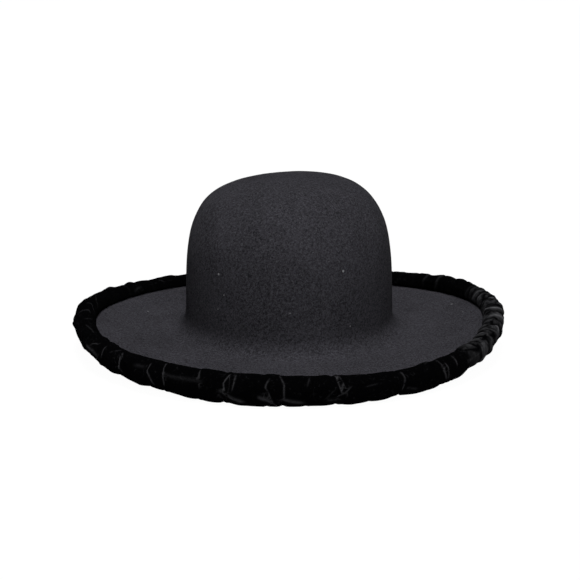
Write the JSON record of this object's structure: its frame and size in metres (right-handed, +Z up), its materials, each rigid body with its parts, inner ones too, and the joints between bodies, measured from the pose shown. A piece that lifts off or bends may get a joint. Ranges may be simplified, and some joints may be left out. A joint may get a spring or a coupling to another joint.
{
  "type": "wide-brim hat",
  "caption": "Wide-brim charcoal felt hat with a plain round crown and a gathered black velvet roll along the brim's edge.",
  "frame": {"origin": "middle of the hat's outline on the surface that it rests on", "axes": "+Z up, -Y towards the front of the hat, +X to the right as seen from the front"},
  "size_m": [0.354, 0.3888, 0.1387],
  "materials": {
    "felt": "charcoal wool felt, matt and slightly fibrous",
    "velvet": "black velvet, with a soft sheen along its folds"
  },
  "bodies": {
    "root": {"felt_body": "felt", "velvet_roll": "velvet"}
  },
  "joints": []
}
